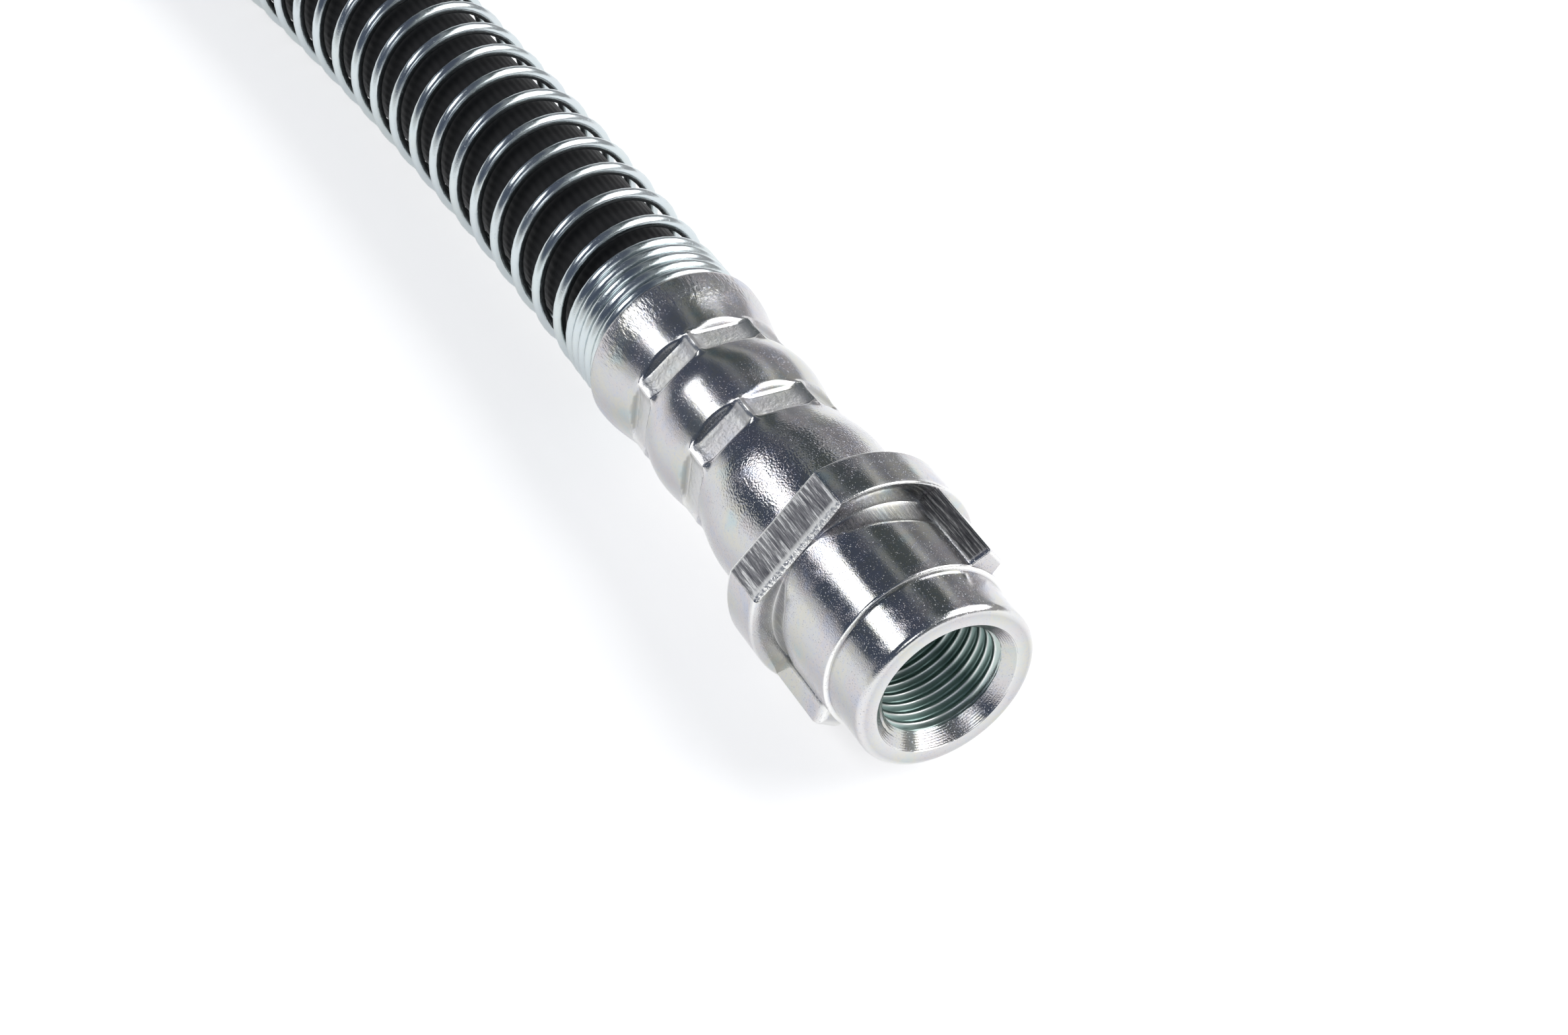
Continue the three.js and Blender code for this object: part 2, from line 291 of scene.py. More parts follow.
# end fittings: rings of points, each with its own distance from the mouth and its radius at every angle
fittingLook = {
    # face, nose and body; a step is (back, up, shine), its shine a painted highlight, as on the nose's round
    "faceRadius": 5.57,
    "noseRadius": 6.985,
    "noseRound": 0.55,
    "nosePaintedHighlight": 0.35,
    "noseLength": 4.1,
    "noseStep": [(0, 0, 0.1), (0.03, 0.1, 0.6), (0.06, 0.27, 1), (0.1, 0.33, 0.8), (0.2, 0.35, 0.1)],
    "bodyRadius": 7.35,
    # lugs: section across and along the flats, fronts of the upper and lower one, edge as (back, drop, shine)
    # with shine a painted highlight, and painted shade on their sides
    "lug": [(7.35, -0.98), (8.46, -0.9), (8.8, 0.9), (7.35, 1.5)],
    "lugFronts": (4.3, 5.45),
    "lugSetback": 0.02,
    "lugDrop": 0.3,
    "lugEdge": [(0.06, 0.14, 0.8), (0.13, 0.04, 0.5), (0.25, 0, 0.1)],
    "lugPaintedShade": 0.6,
    "lowerEase": 2,             # how much rounder the lower lug's end is
    "lowerSpread": (14, 40),    # degrees from its middle
    # pressed relief on the body: where it starts by degrees from a flat, and its dips as (share, dip, shine)
    # with shine a painted highlight; the relief also gets painted shade
    "relief": ([0, 11, 17, 24, 30, 40, 50, 60, 70, 90],
               [11.45, 11.45, 11.15, 10.6, 10.15, 9.95, 9.6, 9.3, 9.1, 8.95]),
    "reliefDepth": 0.13,
    "reliefWidth": (0.1, 1.2),
    "reliefDips": [(0, 0, 0.5), (0.04, 0.2, 0.1), (0.15, 0.65, 0), (0.35, 1, 0), (0.6, 1, 0),
                   (0.8, 0.85, 0), (0.93, 0.6, 0.2), (1, 0.3, 0.6)],
    "reliefFlat": 0.3,
    "reliefPaintedShade": 0.35,
    # flange: front edge as (share of the chamfer, drop, burr, shine), shine being a painted highlight, weaker
    # on the round part
    "flangeFront": 11.45,
    "flangeRear": 15.15,
    "flangeRadius": 8.975,
    "flatDistance": 7.7,
    "flatChamfer": 0.42,
    "flatDepth": 0.14,
    "rimRound": 0.14,
    "roundBevel": 0.7,          # shares off the flats, where the edge is only lightly broken
    "roundPaintedHighlight": 0.6,
    "frontEdge": [(0.2, 0.75, 0.6, 0.9), (0.45, 0.42, 1, 1), (0.7, 0.15, 1, 1), (1, 0, 0.7, 1),
                  (1.3, 0, 0.3, 0.8)],
    "burrHeight": 0.016,
    "rearRound": 0.18,
    "shoulder": 6.95,
    # sleeve: its wave, and where rings lie on its bulges as (from, to, step)
    "stations": [15.15, 20.15, 25.55, 30.15, 33.75, 39.8],
    "radii": [6.95, 7.18, 6.44, 6.93, 6.44, 7.33],
    "bulgeSpans": [(15.4, 23.6, 0.42), (27.4, 31.8, 0.3), (35.6, 39.8, 0.36)],
    "tailRound": 0.35,
    # crimps, pressed by a ring of jaws, with painted highlights on the ridges and lands and painted shade on
    # the walls and lands
    "jaws": 8,
    "crimps": (25.49, 33.68),
    "crimpHalf": (1.0, 0.9),
    "crimpReach": 1.8,
    "crimpStep": 0.12,
    "crimpFlat": 5.93,
    "crimpTurn": 16.4,
    "crimpSoft": 0.06,
    "crimpPast": 1.2,           # a jaw's mark ends this far past its flat
    "crimpCrown": 0.07,
    "lipHeight": 0.035,
    "lipPlace": -0.1,
    "lipWidth": 0.09,
    "wallRun": 0.42,
    "wallRise": 0.55,
    "wallPlace": 0.22,
    "wallWidth": 0.2,
    "ridgeHeight": 0.3,
    "ridgeWidth": 4.0,
    "ridgeFade": (-0.1, 0.75),
    "ridgePaintedHighlight": 0.6,
    "landFade": (-0.12, 0.12),
    "landPaintedHighlight": 0.4,
    "landPaintedShade": 0.1,
    "wallPaintedShade": 0.35,
    # rough metal on the sleeve, more so near its tail
    "roughStart": (22.5, 25),
    "roughTail": (36.6, 38.4),
    "roughGain": (0.03, 0.27),
    # port: thread, turned mouth, pipe seat and the passage behind it; the glint is a painted highlight along
    # the thread
    "threadMinor": 4.55,
    "threadMajor": 5.02,
    "threadPitch": 1.0,
    "threadEnd": 11.6,
    "threadFade": (-0.3, 0.6),  # from its end
    "threadPast": 0.9,          # its rings go on this far past its end
    "portColourRun": (0.6, 2.0),
    "threadRings": 16,
    "toothTop": 1.42,
    "toothSlope": 3.3,
    "glintPlace": 0.36,
    "glintWidth": 0.05,
    "mouthDepth": 1.02,
    "mouthStep": 0.03,
    "turningPitch": 0.13,
    "turningDepth": 0.004,
    "portDepth": 13.2,
    "seatDepth": 1.7,
    "passage": 0.85,
    "stem": 1.45,
    "stemEnd": 37.9,
    "cavity": 5.5,
    "cavityFloor": 19.5,
    # how close the points lie round a ring, in degrees
    "cornerSpread": (-0.5, 0, 0.5),
    "ridgeSpread": (-5, -3.4, -1.7, 0, 1.7, 3.4, 5),
    "evenStep": 2.0,
    "closest": 0.3,
    "evenGap": 0.7,
    "sharpAngle": 34,
    "roll": math.radians(43.9),
}
# two of these masks paint light into the colour: one a pale painted highlight, the other a black painted
# shade
maskNames = ("flat", "edge", "crimp", "thread", "burr", "dull")


def flatReach():
    # degrees from the middle of a flat to its corner on the rim
    return math.degrees(math.acos(fittingLook["flatDistance"] / fittingLook["flangeRadius"]))


def fittingAngles():
    # even angles, with close ones at each corner of the lugs, flats and crimps
    look = fittingLook
    spread = look["cornerSpread"]
    corners = [math.degrees(math.atan2(z, y)) for y, z in look["lug"]]
    exact = [turn + off for corner in corners for turn in (corner, 180 - corner) for off in spread]
    exact += [flat + way * flatReach() + off for flat in (90, 270) for way in (-1, 1) for off in spread]
    ridges = [look["crimpTurn"] + 360 / look["jaws"] * k for k in range(look["jaws"])]
    exact += [ridge + off for ridge in ridges for off in look["ridgeSpread"]]
    exact = np.sort(np.mod(exact, 360))
    exact = exact[np.concatenate([[True], np.diff(exact) > look["closest"]])]
    even = np.arange(0, 360, look["evenStep"])
    apart = np.abs((even[:, None] - exact[None, :] + 180) % 360 - 180).min(axis=1)
    return np.radians(np.sort(np.concatenate([exact, even[apart > look["evenGap"]]])))


def lugOutline(folded):
    # radius of the lugs at each angle from the middle of a lug, 0 beside them
    corners = fittingLook["lug"]
    fine = []
    for (y0, z0), (y1, z1) in zip(corners[:-1], corners[1:]):
        for share in np.linspace(0, 1, 12):
            y, z = y0 + (y1 - y0) * share, z0 + (z1 - z0) * share
            fine.append((math.degrees(math.atan2(z, y)), math.hypot(y, z)))
    fine = np.array(fine)
    return np.interp(folded, fine[:, 0], fine[:, 1], left=0, right=0)


def fittingShape():
    # what each angle round the fitting meets: a lug, a flat, a jaw of the crimp
    look = fittingLook
    angle = fittingAngles()
    degrees = np.degrees(angle)
    # 0 at the middle of both lugs, 90 and -90 at the flats
    folded = np.degrees(np.arctan2(np.sin(angle), np.abs(np.cos(angle))))
    fromFlat = 90 - np.abs(folded)
    flatRadius = look["flatDistance"] / np.maximum(np.cos(np.radians(fromFlat)), 0.2)
    lugged = np.maximum(lugOutline(folded), look["bodyRadius"])
    wideFoot = [math.degrees(math.atan2(z, y)) for y, z in look["lug"][2:]]
    lowerLug = 1 - smoothStep(np.abs(degrees - 180), *look["lowerSpread"])
    jaw = 360 / look["jaws"]
    return SimpleNamespace(
        angle=angle,
        fromFlat=fromFlat,
        rim=np.minimum(look["flangeRadius"], flatRadius),
        onFlat=(fromFlat < flatReach() - 0.01).astype(float),
        lugged=lugged,
        isLug=(lugged > look["bodyRadius"] + 0.01).astype(float),
        lowerLug=lowerLug,
        lugSide=((folded > wideFoot[0]) & (folded < wideFoot[1])) * (1 - lowerLug),
        fromRidge=(degrees - look["crimpTurn"] + jaw / 2) % jaw - jaw / 2,
        fromJaw=(degrees - look["crimpTurn"]) % jaw - jaw / 2,
    )


def addNose(add):
    # face, rounded nose and the step up to the body, with painted highlights on the face's edge, the round
    # and the step
    look = fittingLook
    nose, bend = look["noseRadius"], look["noseRound"]
    add(0, look["faceRadius"], edge=0.3)
    add(0, nose - bend)
    for turn in np.linspace(0, math.pi / 2, 7)[1:]:
        add(bend * (1 - math.cos(turn)), nose - bend * (1 - math.sin(turn)),
            edge=look["nosePaintedHighlight"] * math.sin(2 * turn))
    for back in np.linspace(0.8, look["noseLength"] - 0.08, 6):
        add(back, nose)
    for along, up, shine in look["noseStep"]:
        add(look["noseLength"] + along, nose + up, edge=shine)


def addLugs(add, shape):
    # lugs rise from the body, the lower one with a rounder end, with a painted highlight along their front
    # edge
    look = fittingLook
    body, lugged, isLug = look["bodyRadius"], shape.lugged, shape.isLug
    upper, lower = look["lugFronts"]
    lugFront = upper + (lower - upper) * shape.lowerLug
    ease = 1 + look["lowerEase"] * shape.lowerLug
    foot = lugFront + look["lugSetback"]
    add(foot, body)
    add(foot, np.maximum(lugged - look["lugDrop"] * ease, body), edge=isLug * 0.2)
    for along, drop, shine in look["lugEdge"]:
        add(lugFront + along * ease, np.maximum(lugged - drop * ease, body), edge=isLug * shine)

    # the body behind them, up to the shallow relief pressed in front of the flange, with painted shade on the
    # lug sides and in the relief and painted highlights on the relief's edges
    start = lugFront + look["lugEdge"][-1][0] * ease
    relief = np.interp(shape.fromFlat, *look["relief"])
    sidePaintedShade = shape.lugSide * look["lugPaintedShade"]
    for share in np.linspace(0.06, 0.96, 9):
        add(start + (relief - start) * share, lugged, flat=shape.lugSide, dull=sidePaintedShade)
    width = look["flangeFront"] - relief
    sunk = look["reliefDepth"] * smoothStep(width, *look["reliefWidth"]) * (1 - isLug)
    pressed = sunk > 0.03
    for share, dip, shine in look["reliefDips"]:
        add(relief + width * share, lugged - sunk * dip,
            flat=np.maximum(shape.lugSide, look["reliefFlat"] * pressed * dip),
            edge=shine * (1 - isLug),
            dull=np.maximum(sidePaintedShade, look["reliefPaintedShade"] * pressed * dip))


def addFlange(add, shape):
    # flange, with a broken and burred edge in front of each flat, and painted highlights along its front and
    # rear edges
    look = fittingLook
    body, front, rear = look["bodyRadius"], look["flangeFront"], look["flangeRear"]
    rim, onFlat = shape.rim, shape.onFlat
    chamfer = look["rimRound"] + (look["flatChamfer"] - look["rimRound"]) * onFlat
    depth = np.minimum(look["rimRound"] + look["flatDepth"] * onFlat, rim - body - 0.05)
    bevelShare = np.where(onFlat > 0, 1, look["roundBevel"])
    paintedHighlightShare = np.where(onFlat > 0, 1, look["roundPaintedHighlight"])
    add(front, np.maximum(shape.lugged, rim - depth - 0.4 * (rim - body)))
    add(front, np.maximum(body, rim - depth), edge=0.3)
    for share, drop, burr, shine in look["frontEdge"]:
        rough = rng.normal(0, look["burrHeight"], len(shape.angle)) * onFlat * burr
        crest = rim - depth * drop * bevelShare + rough
        add(front + chamfer * share, np.minimum(crest, rim), flat=onFlat * (share > 0.9),
            edge=shine * paintedHighlightShare, burr=onFlat * burr)
    rearRound = look["rearRound"]
    for share in np.linspace(0.12, 0.97, 8):
        add(front + chamfer + (rear - rearRound - front - chamfer) * share, rim, flat=onFlat)
    add(rear - rearRound, rim, flat=onFlat * 0.5, edge=0.7)
    add(rear - 0.05, rim - 0.05, edge=0.8)
    add(rear, rim - rearRound, edge=0.4)
    add(rear, look["shoulder"] + 0.15)
    add(rear + 0.05, look["shoulder"] + 0.04)


def sleeveRadius(back):
    # the sleeve's wave before it is crimped
    stations, radii = fittingLook["stations"], fittingLook["radii"]
    i = min(np.searchsorted(stations, back, side="right"), len(stations) - 1)
    share = (back - stations[i - 1]) / (stations[i] - stations[i - 1])
    return radii[i - 1] + (radii[i] - radii[i - 1]) * (1 - math.cos(math.pi * share)) / 2


def pressSleeve(back, shape):
    # the sleeve's radius under the jaws, and how far each angle is a flat, a ridge or a wall of the crimp
    look = fittingLook
    none = np.zeros_like(shape.angle)
    plain = sleeveRadius(back)
    radius, land, ridged, wall = plain + none, none, none, none
    for centre, half in zip(look["crimps"], look["crimpHalf"]):
        away = abs(back - centre)
        past = away - half
        if past > look["crimpPast"]:
            continue
        crown = look["crimpCrown"] * (1 - min(1, away / half) ** 2)
        lip = look["lipHeight"] * math.exp(-((past - look["lipPlace"]) / look["lipWidth"]) ** 2)
        rise = look["wallRise"] * max(0, past) / look["wallRun"]
        jaw = (look["crimpFlat"] + crown + lip + rise) / np.cos(np.radians(shape.fromJaw))
        soft = look["crimpSoft"]
        radius = -soft * np.logaddexp(-radius / soft, -jaw / soft)
        # metal squeezed up between the jaws
        ridge = np.exp(-(shape.fromRidge / look["ridgeWidth"]) ** 2)
        ridge = ridge * (1 - smoothStep(past, *look["ridgeFade"]))
        radius = radius + look["ridgeHeight"] * ridge
        ridged = np.maximum(ridged, ridge)
        land = np.maximum(land, (1 - smoothStep(past, *look["landFade"])) * (1 - ridge))
        onWall = math.exp(-((past - look["wallPlace"]) / look["wallWidth"]) ** 2)
        wall = np.maximum(wall, onWall * (radius < plain - 0.06))
    return radius, land, ridged, wall


def addSleeve(add, shape):
    # bulges and the two crimps, then the rounded tail; the crimps get painted highlights and painted shade,
    # the tail's round a painted highlight
    look = fittingLook
    reach, step = look["crimpReach"], look["crimpStep"]
    spans = look["bulgeSpans"] + [(centre - reach, centre + reach, step) for centre in look["crimps"]]
    tailStart = look["stations"][-1]
    for back in np.unique(np.concatenate([np.arange(*span) for span in spans] + [[tailStart]])):
        radius, land, ridged, wall = pressSleeve(back, shape)
        gain = look["roughGain"][0] + look["roughGain"][1] * smoothStep(back, *look["roughTail"])
        add(back, radius, crimp=land, edge=np.maximum(look["ridgePaintedHighlight"] * ridged, look["landPaintedHighlight"] * land),
            dull=np.maximum(look["wallPaintedShade"] * wall * (1 - ridged), look["landPaintedShade"] * land),
            burr=gain * smoothStep(back, *look["roughStart"]) * (1 - wall))
    tail = look["tailRound"]
    for turn in np.linspace(0, math.pi / 2, 5)[1:]:
        add(tailStart + tail * math.sin(turn), look["radii"][-1] - tail * (1 - math.cos(turn)), edge=0.4)


def addInside(add):
    # the sleeve's cavity, the stem in it, and the passage up to the pipe seat, with a painted highlight at
    # the cavity's rim
    look = fittingLook
    add(look["stations"][-1] + look["tailRound"], look["cavity"], edge=0.3)
    add(look["cavityFloor"], look["cavity"])
    add(look["cavityFloor"], look["stem"])
    add(look["stemEnd"], look["stem"])
    add(look["stemEnd"], look["passage"])
    add(look["portDepth"] + look["seatDepth"], look["passage"], thread=1)
    add(look["portDepth"], look["threadMinor"], thread=1)


def addThread(add, shape):
    # cut as one helix that runs out into the turned mouth, with a painted glint along the thread and a
    # painted highlight at the face's edge
    look = fittingLook
    pitch, end, deep = look["threadPitch"], look["threadEnd"], look["mouthDepth"]
    minor, face = look["threadMinor"], look["faceRadius"]
    fadeStart, fadeEnd = (end + past for past in look["threadFade"])
    cut = np.arange(end + look["threadPast"], deep, -pitch / look["threadRings"])
    turned = np.arange(deep, 0.07, -look["mouthStep"])
    for back in np.concatenate([cut, turned]):
        phase = np.mod(back / pitch + shape.angle / (2 * math.pi), 1)
        tooth = np.clip(look["toothTop"] - np.abs(phase - 0.5) * look["toothSlope"], 0, 1)
        fade = 1 - smoothStep(back, fadeStart, fadeEnd)
        threaded = minor + (look["threadMajor"] - minor) * (1 - tooth) * fade
        ripple = look["turningDepth"] * math.sin(2 * math.pi * back / look["turningPitch"])
        cone = face - back * (face - minor) / deep + ripple
        glint = np.exp(-((phase - look["glintPlace"]) / look["glintWidth"]) ** 2)
        add(back, np.maximum(threaded, cone), thread=smoothStep(back, *look["portColourRun"]),
            edge=glint * fade * (threaded >= cone))
    add(0.05, face - 0.03, edge=0.4)


def fittingRings():
    # all rings of a fitting, from its face round the outside and back through the bore, with their masks
    shape = fittingShape()
    ones = np.ones_like(shape.angle)
    across, up = np.cos(shape.angle), np.sin(shape.angle)
    rings = []
    masks = {name: [] for name in maskNames}

    def add(back, radius, **marks):
        # one ring of points, and its share of each mask
        rings.append(np.stack([-back * ones, radius * across, radius * up], axis=-1))
        for name in maskNames:
            masks[name].append(marks.get(name, 0) * ones)

    addNose(add)
    addLugs(add, shape)
    addFlange(add, shape)
    addSleeve(add, shape)
    addInside(add)
    addThread(add, shape)
    return np.array(rings), {name: np.concatenate(masks[name]) for name in maskNames}


def makeFitting(name, node, place):
    rings, masks = fittingRings()
    local = rings.reshape(-1, 3)
    world = np.array([place @ Vector(point) for point in local]).reshape(rings.shape)
    piece = skin(name, world, joined=True, facets=fittingLook["sharpAngle"])
    # the thread's crests are rounded, not sharp
    ends = np.empty(2 * len(piece.data.edges), dtype=np.int32)
    piece.data.edges.foreach_get("vertices", ends)
    inPort = masks["thread"][ends].reshape(-1, 2).min(axis=1) > 0.3
    sharp = np.empty(len(piece.data.edges), dtype=bool)
    layer = piece.data.attributes["sharp_edge"]
    layer.data.foreach_get("value", sharp)
    layer.data.foreach_set("value", sharp & ~inPort)
    store(piece, "place", local)
    for label, values in masks.items():
        store(piece, label, values)
    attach(piece, "root")
    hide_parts(node)
    print(name, len(piece.data.vertices), "points")
    return piece


roll = Matrix.Rotation(fittingLook["roll"], 4, "X")
nearPlace = Matrix.Translation(mouth / mm) @ roll
farMouth = Vector(route["farSleeve"]) + Vector(farWay) * route["sleeveEnd"] + mouth / mm
farPlace = Matrix.Translation(farMouth) @ Matrix.Rotation(math.pi + route["farHeading"], 4, "Z") @ roll
nearFitting = makeFitting("nearFitting", "near_fitting", nearPlace)
farFitting = makeFitting("farFitting", "far_fitting", farPlace)


def newMaterial(name):
    material = bpy.data.materials.new(name)
    material.use_nodes = True
    nodes = material.node_tree.nodes
    return material, nodes, material.node_tree.links, nodes["Principled BSDF"]


def addNode(nodes, kind, **settings):
    node = nodes.new(kind)
    for key, value in settings.items():
        if key in node.inputs:
            node.inputs[key].default_value = value
        else:
            setattr(node, key, value)
    return node


def setRamp(node, stops):
    elements = node.color_ramp.elements
    elements[0].position, elements[0].color = stops[0][0], (*stops[0][1], 1)
    elements[1].position, elements[1].color = stops[-1][0], (*stops[-1][1], 1)
    for position, colour in stops[1:-1]:
        elements.new(position).color = (*colour, 1)


def mathNode(nodes, links, operation, a, b=None, c=None, clamp=False):
    node = nodes.new("ShaderNodeMath")
    node.operation = operation
    node.use_clamp = clamp
    for i, value in enumerate((a, b, c)):
        if value is None:
            continue
        if isinstance(value, (int, float)):
            node.inputs[i].default_value = value
        else:
            links.new(value, node.inputs[i])
    return node.outputs[0]


def mixColour(nodes, links, factor, a, b):
    node = addNode(nodes, "ShaderNodeMix", data_type="RGBA")
    for socket, value in ((node.inputs["Factor"], factor), (node.inputs[6], a), (node.inputs[7], b)):
        if isinstance(value, tuple):
            socket.default_value = (*value, 1)
        elif isinstance(value, (int, float)):
            socket.default_value = value
        else:
            links.new(value, socket)
    return node.outputs[2]


def rangeNode(nodes, links, value, span, result=(0, 1), kind="SMOOTHSTEP"):
    node = addNode(nodes, "ShaderNodeMapRange", interpolation_type=kind,
                   **{"From Min": span[0], "From Max": span[1], "To Min": result[0], "To Max": result[1]})
    links.new(value, node.inputs["Value"])
    return node.outputs["Result"]


def attribute(nodes, name, output):
    # what store() left on the mesh
    return addNode(nodes, "ShaderNodeAttribute", attribute_name=name).outputs[output]


def bumpChain(nodes, links, heights):
    # heights in mm, each bump laid on the one before
    normal = None
    for height, depth in heights:
        bump = addNode(nodes, "ShaderNodeBump", Strength=1.0, Distance=depth * mm)
        links.new(height, bump.inputs["Height"])
        if normal is not None:
            links.new(normal, bump.inputs["Normal"])
        normal = bump.outputs["Normal"]
    return normal


def noiseNode(nodes, links, place, scale, detail, roughness=0.5, stretch=None):
    if stretch is not None:
        mapping = addNode(nodes, "ShaderNodeMapping", Scale=stretch)
        links.new(place, mapping.inputs["Vector"])
        place = mapping.outputs["Vector"]
    noise = addNode(nodes, "ShaderNodeTexNoise", Scale=scale, Detail=detail, Roughness=roughness)
    links.new(place, noise.inputs["Vector"])
    return noise


platingLook = {
    "tintSize": 0.35,
    "tints": [(0.28, (0.455, 0.52, 0.525)), (0.4, (0.535, 0.525, 0.48)), (0.5, (0.51, 0.515, 0.52)),
              (0.6, (0.53, 0.505, 0.505)), (0.72, (0.47, 0.485, 0.545))],
    "fleckSize": 4.5,
    "fleckRange": (0.52, 0.7),
    "fleckShare": 0.4,
    "fleckColour": (0.4, 0.44, 0.59),
    "patchSize": 0.35,
    "patchRange": (0.42, 0.66),
    "patchGain": (0.35, 1.3),
    "grainSize": 10.0,
    "speckSize": 9.0,
    "speckRange": (0.64, 0.8),
    "speckHeight": 1.6,
}


def platingGroup():
    # thin plating on a piece's own place in mm: pastel tints, and fine grain that comes and goes in patches
    look = platingLook
    group = bpy.data.node_groups.new("plating", "ShaderNodeTree")
    face = group.interface
    face.new_socket("Place", in_out="INPUT", socket_type="NodeSocketVector")
    sizes = {"Tint Size": look["tintSize"], "Grain Size": look["grainSize"], "Patch Size": look["patchSize"]}
    for name, value in sizes.items():
        face.new_socket(name, in_out="INPUT", socket_type="NodeSocketFloat").default_value = value
    face.new_socket("Tint", in_out="OUTPUT", socket_type="NodeSocketColor")
    face.new_socket("Grain", in_out="OUTPUT", socket_type="NodeSocketFloat")
    face.new_socket("Patch", in_out="OUTPUT", socket_type="NodeSocketFloat")
    nodes, links = group.nodes, group.links
    start, end = nodes.new("NodeGroupInput"), nodes.new("NodeGroupOutput")
    place = start.outputs["Place"]

    # tints in broad clouds, with small bluish flecks
    tintNoise = noiseNode(nodes, links, place, 1.0, 3.0)
    links.new(start.outputs["Tint Size"], tintNoise.inputs["Scale"])
    tint = nodes.new("ShaderNodeValToRGB")
    setRamp(tint, look["tints"])
    links.new(tintNoise.outputs["Fac"], tint.inputs["Fac"])
    fleck = noiseNode(nodes, links, place, look["fleckSize"], 3.0, 0.6).outputs["Fac"]
    flecked = rangeNode(nodes, links, fleck, look["fleckRange"], (0, look["fleckShare"]), "LINEAR")
    colour = mixColour(nodes, links, flecked, tint.outputs["Color"], look["fleckColour"])
    links.new(colour, end.inputs["Tint"])

    # patches, where the grain is stronger
    patchNoise = noiseNode(nodes, links, place, 1.0, 3.0, 0.6)
    links.new(start.outputs["Patch Size"], patchNoise.inputs["Scale"])
    patch = rangeNode(nodes, links, patchNoise.outputs["Fac"], look["patchRange"], look["patchGain"])
    links.new(patch, end.inputs["Patch"])

    # grain, with a few steep specks
    grain = noiseNode(nodes, links, place, 1.0, 2.0, 0.6)
    links.new(start.outputs["Grain Size"], grain.inputs["Scale"])
    centred = mathNode(nodes, links, "SUBTRACT", grain.outputs["Fac"], 0.5)
    dots = noiseNode(nodes, links, place, look["speckSize"], 1.0, 0.6).outputs["Fac"]
    speck = rangeNode(nodes, links, dots, look["speckRange"], (0, look["speckHeight"]))
    rough = mathNode(nodes, links, "ADD", centred, speck)
    links.new(mathNode(nodes, links, "MULTIPLY", rough, patch), end.inputs["Grain"])
    return group


plating = platingGroup()


def platingNode(nodes, links, place, **sizes):
    node = nodes.new("ShaderNodeGroup")
    node.node_tree = plating
    for name, value in sizes.items():
        node.inputs[name].default_value = value
    links.new(place, node.inputs["Place"])
    return node.outputs


zincLook = {
    "roughness": 0.1,
    "patchRough": 0.02,
    "roughGains": {"flat": 0.3, "crimp": 0.3, "thread": 0.24, "burr": 0.17},
    # colours of the painted highlight, the port and the painted shade, then the sheared flats
    "paintedHighlightColour": (0.9, 0.9, 0.88),
    "portColour": (0.32, 0.45, 0.42),
    "dullColour": (0, 0, 0),
    "flatColours": [(0.38, (0.12, 0.12, 0.135)), (0.52, (0.3, 0.3, 0.31)), (0.6, (0.85, 0.85, 0.84))],
    "grainDepth": 0.014,
    "grainLostInPort": 0.9,
    "grainLostOnTail": 0.55,
    "peelZone": (15.4, 17.4, 21.2, 23.6),
    "peelSize": 6.5,
    "peelDepth": 0.019,
    "softZone": (18.0, 28.0),
    "softer": 0.08,
    "mottleSize": 2.6,
    "mottleDepth": 0.07,
    "shearStretch": (0.35, 5.0, 5.0),
    "shearDepth": 0.08,
    "burrSize": 4.0,
    "burrStretch": (0.5, 1.0, 1.0),
    "burrDepth": 0.16,
}


